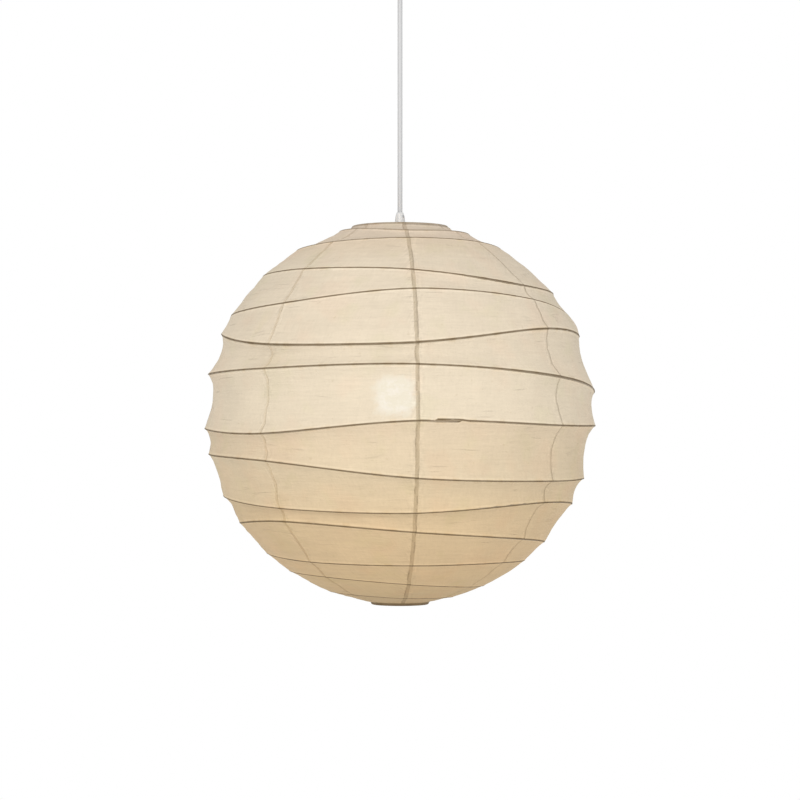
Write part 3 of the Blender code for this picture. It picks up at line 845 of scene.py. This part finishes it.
def wire(points, radius, sides=16):
    # a round wire along points, its ends domed
    line = bpy.data.curves.new("wire", "CURVE")
    line.dimensions = "3D"
    line.bevel_depth = radius
    line.bevel_resolution = sides // 4
    line.use_fill_caps = True
    spline = line.splines.new("POLY")
    spline.points.add(len(points) - 1)
    for step, point in enumerate(points):
        spline.points[step].co = (*point, 1.0)
    for end, thin in ((0, 0.45), (1, 0.85)):
        spline.points[end].radius = thin
        spline.points[-1 - end].radius = thin
    added("wire", line)
    bpy.ops.object.convert(target="MESH")
    bpy.ops.object.mode_set(mode="EDIT")
    bpy.ops.mesh.select_all(action="SELECT")
    bpy.ops.mesh.remove_doubles(threshold=0.000001)
    return smoothed(50.0)


def tipped(points, radius):
    # points close to each end, where the wire narrows
    first, last = points[0], points[-1]
    inward = (points[1] - first).normalized() * radius * 0.6
    outward = (points[-2] - last).normalized() * radius * 0.6
    return [first, first + inward, *points[1:-1], last + outward, last]


def thread(root, crest, high, pitch, turns, steps=48, width=0.45):
    # a rounded ridge wound round the axis from its top end down
    rise = pitch * width / 2
    mesh = bpy.data.meshes.new("thread")
    corners = ((root, -rise), (crest, -rise * 0.4), (crest, rise * 0.4), (root, rise))
    mesh.from_pydata([(r, 0, high + z) for r, z in corners], [(0, 1), (1, 2), (2, 3), (3, 0)], [])
    winding = added("thread", mesh).modifiers.new("winding", "SCREW")
    winding.axis = "Z"
    winding.screw_offset = -pitch
    winding.iterations = turns
    winding.steps = winding.render_steps = steps
    bpy.ops.object.modifier_apply(modifier=winding.name)
    bpy.ops.object.mode_set(mode="EDIT")
    bpy.ops.mesh.select_all(action="SELECT")
    bpy.ops.mesh.fill_holes(sides=4)
    return smoothed(60.0)


def raisedThread(setting):
    # a thread whose height is given from the middle plane
    return thread(**{**setting, "high": setting["high"] + shade["middle"]})


def joined(first, *others):
    bpy.ops.object.select_all(action="DESELECT")
    for piece in (*others, first):
        piece.select_set(True)
    bpy.context.view_layer.objects.active = first
    bpy.ops.object.join()
    return first


def slotted(piece, middle, size):
    # cuts a screwdriver's slot
    bpy.ops.mesh.primitive_cube_add(size=1.0, location=middle, scale=size)
    cutter = bpy.context.object
    cut = piece.modifiers.new("slot", "BOOLEAN")
    cut.object = cutter
    cut.operation = "DIFFERENCE"
    cut.solver = "EXACT"
    bpy.context.view_layer.objects.active = piece
    bpy.ops.object.modifier_apply(modifier=cut.name)
    bpy.data.objects.remove(cutter)


def faceAway(piece, direction, place):
    # stands a piece made on the axis on its side, its top towards a direction
    turn = Vector((0, 0, 1)).rotation_difference(Vector(direction)).to_matrix().to_4x4()
    for vertex in piece.data.vertices:
        vertex.co = turn @ vertex.co + Vector(place)


def lifted(profile):
    # heights from the middle plane made heights in the frame
    return [(radius, height + shade["middle"]) for radius, height in profile]


# the ceiling end, its heights in the frame

canopy = {
    "radius": 0.045,
    "top": -0.0005,
    "bottom": -0.0285,
    "wall": 0.0012,
    "corner": 0.009,
    "edge": 0.0002,
    "groove": (0.0020, 0.0032),  # where it starts and ends under the top
    "step": 0.0003,  # how deep the groove is, and the dish round the hole
    "dish": (0.0098, 0.0105),
    "hole": 0.0046,
    "sides": 96,
}

sideScrew = {
    "height": -0.008,
    "out": 0.0453,
    "head": 0.0036,
    "dome": 0.0022,
    "slot": 0.26,  # its width as a share of the head's radius
    "length": 0.0095,
    "core": 0.0016,
    "turns": 6,
}

bush = {
    "bore": 0.0028,
    "flange": ((0.0072, -0.0241), (0.0075, -0.0244), (0.0075, -0.0265)),
    "neck": 0.0043,
    "sleeve": ((0.0063, -0.0283), (0.0064, -0.0286), (0.0059, -0.0306), (0.0057, -0.0308)),
    "sides": 64,
}

boot = {
    "ball": {"radius": 0.0042, "height": -0.0353},
    "tip": {"radius": 0.0034, "height": -0.0436},
    "sleeve": ((0.0040, -0.0376), (0.0030, -0.0420)),
    "ribs": 4,
    "rib": ((0.0, 0.0), (0.25, 0.0004), (0.6, 0.0004), (0.85, 0.0)),  # how far along, how thick
    "sides": 48,
}


def makeCanopy():
    radius, top, bottom, wall = (canopy[key] for key in ("radius", "top", "bottom", "wall"))
    corner, edge, step, hole = (canopy[key] for key in ("corner", "edge", "step", "hole"))
    middle = (radius - corner, bottom + corner)
    start, end = canopy["groove"]
    profile = [
        (radius - wall, top),
        (radius - edge, top),
        (radius, top - edge),
        (radius, top - start),
        (radius - step, top - start - step),
        (radius - step, top - end + step),
        (radius, top - end),
        *arc(middle, corner, range(0, -91, -10)),
        (canopy["dish"][1], bottom),
        (canopy["dish"][0], bottom + step),
        (hole + step, bottom + step),
        (hole, bottom + 2 * step),
        (hole, bottom + wall),
        *arc(middle, corner - wall, range(-90, 1, 10)),
    ]
    piece = turned(profile, canopy["sides"], crease=25.0)
    finished(piece, "ceiling_canopy", "ceiling", "whitePlastic", "canopy")


def makeSideScrew(side, name):
    # a domed head with a slot, and a threaded shaft behind it
    radius, dome, length, core = (sideScrew[key] for key in ("head", "dome", "length", "core"))
    outline = [(radius * 0.94, 0.0)]
    for angle in range(0, 81, 16):
        outline.append((radius * cos(radians(angle)), dome * (0.35 + 0.65 * sin(radians(angle)))))
    head = turned([*outline, (radius * 0.08, dome)], 32, closed=False, crease=50.0)
    slotted(head, (0, 0, dome), (radius * 2.4, radius * sideScrew["slot"], dome * 0.9))
    stem = turned([(core, 0.0002), (core, -length * 0.8), (core * 0.3, -length)], 20, closed=False)
    ridge = thread(core * 0.9, core * 1.18, -0.0006, length * 0.12, sideScrew["turns"], 24)
    for piece in (head, stem, ridge):
        faceAway(piece, (side, 0, 0), (side * sideScrew["out"], 0, sideScrew["height"]))
    screw = joined(head, stem, ridge)
    finished(screw, f"canopy_side_screw_{name}", "ceiling", "nickel", f"canopy_screw_{name}")


def makeBush():
    # a flange inside the canopy, a neck through its hole and a sleeve under it
    bore, neck = bush["bore"], bush["neck"]
    flange, sleeve = bush["flange"], bush["sleeve"]
    profile = [(bore, flange[0][1]), *flange, (neck, flange[-1][1])]
    profile += [(neck, sleeve[0][1]), *sleeve, (bore, sleeve[-1][1])]
    piece = turned(profile, bush["sides"])
    finished(piece, "bush_moulded", "ceiling", "whitePlastic", "cord_bush")


def makeBoot():
    # a ball in the bush, a tapered sleeve with ribs, and a ball at the tip
    ball, tip, ribCount = boot["ball"], boot["tip"], boot["ribs"]
    start, end = boot["sleeve"]
    profile = arc((0, ball["height"]), ball["radius"], range(75, -31, -15))
    for rib in range(ribCount):
        for share, swell in boot["rib"]:
            at = (rib + share) / ribCount
            profile.append((start[0] + (end[0] - start[0]) * at + swell, start[1] + (end[1] - start[1]) * at))
    profile += arc((0, tip["height"]), tip["radius"], range(10, -61, -14))
    piece = turned(profile, boot["sides"], closed=False, crease=60.0)
    finished(piece, "cord_boot_ribbed", "boot", "whitePlastic", "cord_boot")


makeCanopy()
makeSideScrew(-1, "left")
makeSideScrew(1, "right")
makeBush()
makeBoot()
print("ceiling end made")


# the lampholder, its heights from the middle plane

grip = {
    "outline": ((0.0034, 0.2052), (0.0040, 0.2036), (0.0044, 0.2021), (0.0047, 0.2005), (0.0049, 0.1993),
                (0.0052, 0.1960), (0.0053, 0.1948), (0.0056, 0.1888), (0.0056, 0.1869)),
    "bore": 0.0028,
    "edge": 0.00012,
    "sides": 64,
}

gripScrew = {
    "side": 45.0,  # degrees from the front towards the right
    "tilt": 0.15,
    "out": 0.0043,
    "height": 0.2008,
    "outline": ((0.0011, -0.0006), (0.0013, 0.0), (0.0013, 0.0008), (0.0012, 0.0009)),
    "socket": ((0.0007, 0.0009), (0.0007, -0.0002), (0.0001, -0.0002)),
    "sides": 24,
}

holderCap = {
    "outline": ((0.0060, 0.1866), (0.0070, 0.1800), (0.0098, 0.1700), (0.0142, 0.1600), (0.0186, 0.1500),
                (0.0213, 0.1420), (0.0224, 0.1345)),
    "lip": ((0.0225, 0.1330), (0.0223, 0.1317), (0.0208, 0.1317)),
    "wall": (0.0015, 0.0006),  # across and down
    "bore": 0.0030,
    "edge": 0.00015,
    "sides": 80,
}

skirt = {
    "outline": ((0.0172, 0.0950), (0.0188, 0.0950), (0.0190, 0.0952), (0.0190, 0.1286), (0.0222, 0.1290),
                (0.0225, 0.1293), (0.0225, 0.1310), (0.0222, 0.1313), (0.0202, 0.1314), (0.0202, 0.1345),
                (0.0172, 0.1345)),
    "thread": {"root": 0.0189, "crest": 0.0198, "high": 0.1262, "pitch": 0.0024, "turns": 11, "steps": 64},
    "sides": 80,
}

retainer = {
    "outline": ((0.0202, 0.1180), (0.0245, 0.1179), (0.0251, 0.1182), (0.0255, 0.1188), (0.0255, 0.1260),
                (0.0251, 0.1266), (0.0245, 0.1269), (0.0202, 0.1268)),
    "grip": {"radius": 0.0253, "height": 0.1224, "reach": 0.002, "every": 3, "rim": 0.0001, "depth": 0.0007},
    "sides": 96,
}

shell = {
    "radius": 0.0146,
    "foot": 0.0986,
    "length": 0.0190,
    "wall": 0.0004,
    "waves": 5,
    "swell": 0.00035,
    "steps": 8,  # in each wave
    "sides": 64,
}


def makeGrip():
    # a tapered sleeve round the cord
    outline, bore = grip["outline"], grip["bore"]
    profile = [*outline, (bore, outline[-1][1]), (bore, outline[0][1])]
    piece = turned(lifted(profile), grip["sides"])
    softened(piece, grip["edge"])
    finished(piece, "grip_collar", "lantern", "whitePlastic", "cord_grip")


def makeGripScrew():
    # a small set screw with a dark socket
    side, out = radians(gripScrew["side"]), gripScrew["out"]
    aside = Vector((sin(side), -cos(side), gripScrew["tilt"])).normalized()
    profile = [*gripScrew["outline"], *gripScrew["socket"]]
    piece = turned(profile, gripScrew["sides"], closed=False)
    faceAway(piece, aside, (out * aside.x, out * aside.y, shade["middle"] + gripScrew["height"]))
    finished(piece, "grip_set_screw", "lantern", "darkScrew", "cord_grip_screw")


def makeHolderCap():
    outer = shaped(holderCap["outline"], 4)
    across, down = holderCap["wall"]
    inner = [(max(radius - across, holderCap["bore"]), height - down) for radius, height in reversed(outer)]
    piece = turned(lifted([*outer, *holderCap["lip"], *inner]), holderCap["sides"])
    softened(piece, holderCap["edge"])
    finished(piece, "holder_dome", "lantern", "whitePlastic", "holder_cap")


def makeSkirt():
    tube = turned(lifted(skirt["outline"]), skirt["sides"])
    piece = joined(tube, raisedThread(skirt["thread"]))
    finished(piece, "skirt_threaded", "lantern", "whitePlastic", "holder_skirt")


def makeRetainingRing():
    # a ring with finger grooves round the outside
    piece = turned(lifted(retainer["outline"]), retainer["sides"])
    grooves = retainer["grip"]
    for polygon in piece.data.polygons:
        middle = polygon.center
        turn = int(degrees(atan2(middle.y, middle.x)) % 360 * retainer["sides"] / 360)
        level = abs(middle.z - shade["middle"] - grooves["height"]) < grooves["reach"]
        outside = hypot(middle.x, middle.y) > grooves["radius"]
        polygon.select = level and outside and turn % grooves["every"] == 0
    bpy.ops.object.mode_set(mode="EDIT")
    bpy.ops.mesh.select_mode(type="FACE")
    bpy.ops.mesh.inset(thickness=grooves["rim"], depth=-grooves["depth"])
    bpy.ops.object.mode_set(mode="OBJECT")
    finished(piece, "ring_grooved", "holder_ring", "whitePlastic", "retaining_ring")


def makeScrewShell():
    # rolled thread of the shell that the lamp screws into
    steps = shell["waves"] * shell["steps"]
    outer = []
    for step in range(steps + 1):
        swell = shell["swell"] * cos(2 * pi * step / shell["steps"])
        outer.append((shell["radius"] + swell, shell["foot"] + shell["length"] * step / steps))
    inner = [(radius - shell["wall"], height) for radius, height in reversed(outer)]
    piece = turned(lifted(outer + inner), shell["sides"])
    finished(piece, "shell_rolled", "lantern", "brass", "screw_shell")


makeGrip()
makeGripScrew()
makeHolderCap()
makeSkirt()
makeRetainingRing()
makeScrewShell()
print("lampholder made")


# the lamp, its heights from the middle plane

lampCap = {
    "outline": ((0.0040, 0.1136), (0.0062, 0.1137), (0.0112, 0.1110), (0.0122, 0.1105), (0.0130, 0.1090),
                (0.0131, 0.1070), (0.0127, 0.1064), (0.0127, 0.0945), (0.0131, 0.0938), (0.0131, 0.0926),
                (0.0120, 0.0925)),
    "thread": {"root": 0.0126, "crest": 0.0134, "high": 0.1052, "pitch": 0.0030, "turns": 4, "width": 0.7},
    "sides": 64,
}

lampCollar = {
    "bore": 0.0132,
    "outline": ((0.0140, 0.0922), (0.0146, 0.0885), (0.0162, 0.0845), (0.0200, 0.0760), (0.0245, 0.0670),
                (0.0272, 0.0605), (0.0288, 0.0562)),
    "lip": ((0.0286, 0.0559), (0.0262, 0.0559)),
    "wall": (0.0018, 0.0004),  # across and down
    "sides": 80,
}

lampGlobe = {
    "centre": 0.0255,
    "radius": 0.0325,
    "wall": 0.0012,
    "neck": ((0.0290, 0.0556), (0.0297, 0.0520)),
    "inside": ((0.0285, 0.0520), (0.0278, 0.0556)),
    "sides": 96,
}


def makeLampCap():
    tube = turned(lifted(lampCap["outline"]), lampCap["sides"], closed=False)
    piece = joined(tube, raisedThread(lampCap["thread"]))
    finished(piece, "lamp_cap", "bulb", "nickel", "bulb_screw_cap")


def makeLampCollar():
    outer = shaped(lampCollar["outline"], 3)
    across, down = lampCollar["wall"]
    inner = [(radius - across, height - down) for radius, height in reversed(outer[1:-2])]
    profile = [(lampCollar["bore"], outer[0][1]), *outer, *lampCollar["lip"], *inner]
    piece = turned(lifted(profile), lampCollar["sides"])
    finished(piece, "lamp_collar", "bulb", "whitePlastic", "bulb_collar")


def makeLampGlobe():
    centre, radius, angles = (0, lampGlobe["centre"]), lampGlobe["radius"], range(25, -88, -4)
    profile = [*lampGlobe["neck"], *arc(centre, radius, angles)]
    profile += [*arc(centre, radius - lampGlobe["wall"], reversed(angles)), *lampGlobe["inside"]]
    piece = turned(lifted(profile), lampGlobe["sides"], crease=60.0)
    finished(piece, "lamp_globe", "bulb", "opal", "bulb_globe")


makeLampCap()
makeLampCollar()
makeLampGlobe()
print("lamp made")


# the wire expander, the rims and the ribs

expander = {
    "wire": 0.00125,
    "arm": ((0.0262, 0.1303), (0.0350, 0.1312), (0.0425, 0.1400), (0.0440, 0.1550), (0.0440, 0.1760),
            (0.0450, 0.1838), (0.0472, 0.1862), (0.0502, 0.1862)),
    "leg": ((0.0285, 0.12565), (0.0345, 0.1190), (0.0435, 0.1075), (0.0460, 0.0950), (0.0460, -0.0200),
            (0.0420, -0.0350), (0.0270, -0.0680), (0.0240, -0.0840), (0.0240, -0.1840), (0.0250, -0.1893),
            (0.0275, -0.1902), (0.0312, -0.1902)),
    "disc": ((0.0202, 0.1272), (0.0206, 0.1272), (0.0296, 0.1272), (0.0300, 0.1276), (0.0300, 0.1283),
             (0.0296, 0.1287), (0.0242, 0.1287), (0.0236, 0.1283), (0.0206, 0.1283), (0.0202, 0.1280)),
}

# the butt weld of each rim
weld = {
    "place": 0.6,  # radians from the back towards the right
    "reach": 0.03,
    "swell": 1.1,
}


def bentWire(route, azimuth):
    line = shaped([around(azimuth, radius, height) for radius, height in route], 6)
    return wire(tipped(line, expander["wire"]), expander["wire"])


def makeExpander():
    for azimuth, kind, side, body in (
        (0, "arm", "front", "lantern"),
        (180, "arm", "back", "lantern"),
        (-90, "leg", "left", "left_leg"),
        (90, "leg", "right", "right_leg"),
    ):
        piece = bentWire(expander[kind], azimuth)
        finished(piece, f"{kind}_wire_{side}", body, "steel", f"expander_{kind}_{side}")
    disc = turned(lifted(expander["disc"]), 96)
    finished(disc, "hanger_disc", "lantern", "steel", "expander_plate")


def makeRims():
    for name, rim, height, body in (
        ("top", shade["topRim"], shadeHeight(shade["topRim"]), "lantern"),
        ("bottom", shade["bottomRim"], -shadeHeight(shade["bottomRim"]), "lower_rim"),
    ):
        bpy.ops.mesh.primitive_torus_add(
            major_radius=rim, minor_radius=shade["rimWire"], major_segments=128, minor_segments=16
        )
        ring = bpy.context.object
        bpy.ops.object.shade_smooth()
        for vertex in ring.data.vertices:
            if abs(atan2(vertex.co.x, vertex.co.y) - weld["place"]) < weld["reach"]:
                middle = Vector((vertex.co.x, vertex.co.y, 0)).normalized() * rim
                vertex.co = middle + (vertex.co - middle) * weld["swell"]
            vertex.co.z += height + shade["middle"]
        finished(ring, f"{name}_rim_wire", body, "steel", f"{name}_rim")


def ribRoute(first, last, aside):
    points = []
    steps = int((last - first) * ribs["perTurn"])
    for step in range(steps + 1):
        turns = first + (last - first) * step / steps
        height = ribHeight(turns)
        radius, height = underSurface(height, ribs["depth"])
        height += aside * spliceShare(turns)
        points.append(around(shade["firstSeam"] - 90 + 360 * turns, radius, height))
    return points


def makeRibs():
    upper = ribRoute(ribStart, ribs["splice"] + ribs["lap"], -ribs["aside"])
    lower = ribRoute(ribs["splice"] - ribs["lap"], ribEnd, ribs["aside"])
    for name, route in (("upper", upper), ("lower", lower)):
        rib = wire(tipped(route, ribs["wire"]), ribs["wire"], 12)
        finished(rib, f"rib_coil_{name}", "lantern", "ribWire", f"rib_wire_{name}")
        collapse(rib)


makeExpander()
makeRims()
makeRibs()
print("wires made")


def finishNodes():
    # the CAD nodes that stay in sight
    byNode = {
        "steel": ("ceiling_bracket",),
        "brass": ("terminal_screw_live", "terminal_screw_neutral", "centre_contact", "holder_screw_live",
                  "holder_screw_neutral", "bulb_contact"),
        "whitePlastic": ("terminal_block", "cord_stop", "led_board"),
        "cord": ("cord_in_canopy", "cord_in_holder"),
        "ceramic": ("holder_insulator",),
        "brownCore": ("live_core_in_canopy", "live_core_in_holder"),
        "blueCore": ("neutral_core_in_canopy", "neutral_core_in_holder"),
    }
    for finish, nodes in byNode.items():
        for node in nodes:
            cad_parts[node].material_slots[0].material = finishes[finish]


finishNodes()
